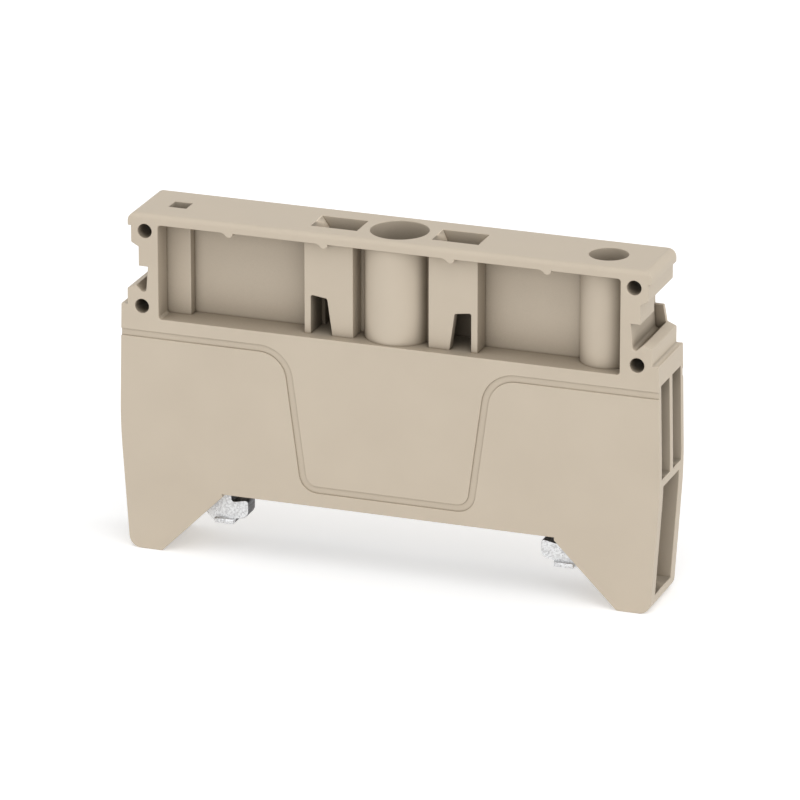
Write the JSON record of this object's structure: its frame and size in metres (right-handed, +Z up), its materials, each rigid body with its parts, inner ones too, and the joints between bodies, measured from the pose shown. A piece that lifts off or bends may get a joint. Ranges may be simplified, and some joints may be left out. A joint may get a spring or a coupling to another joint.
{
  "type": "rail end stop",
  "caption": "Narrow moulded end stop for a 35 mm mounting rail, with recessed head, marker slots, top bore to a clamping screw and a hooked steel yoke that grips the rail edges.",
  "frame": {"origin": "middle of the length and thickness, at the level of the two leg ends", "axes": "+X along the length, across the rail; +Y through the thickness, along the rail; +Z up, away from the rail"},
  "size_m": [0.058, 0.008, 0.0364],
  "materials": {
    "housing_plastic": "moulded dark beige polyamide, fine matt grain",
    "yoke_steel": "stamped steel sheet, galvanised, bright and mottled",
    "nut_steel": "zinc plated",
    "screw_steel": "zinc plated"
  },
  "bodies": {
    "stop_body": {"housing": "housing_plastic"},
    "yoke_body": {"clamping_yoke": "yoke_steel", "square_nut": "nut_steel"},
    "screw_body": {"clamping_screw": "screw_steel"}
  },
  "joints": [
    {"name": "screw_turn", "type": "hinge", "parent": "stop_body", "child": "screw_body", "pos_m": [0, 0, 0.0174], "axis": [0, 0, -1], "range_deg": [-1152.1, 216.1]},
    {"name": "yoke_slide", "type": "slide", "parent": "stop_body", "child": "yoke_body", "axis": [0, 0, 1], "range_m": [-0.0016, 0.0003]}
  ],
  "couplings": [
    {"joint": "screw_turn", "follows": "yoke_slide", "rad_per_m": 12566}
  ]
}
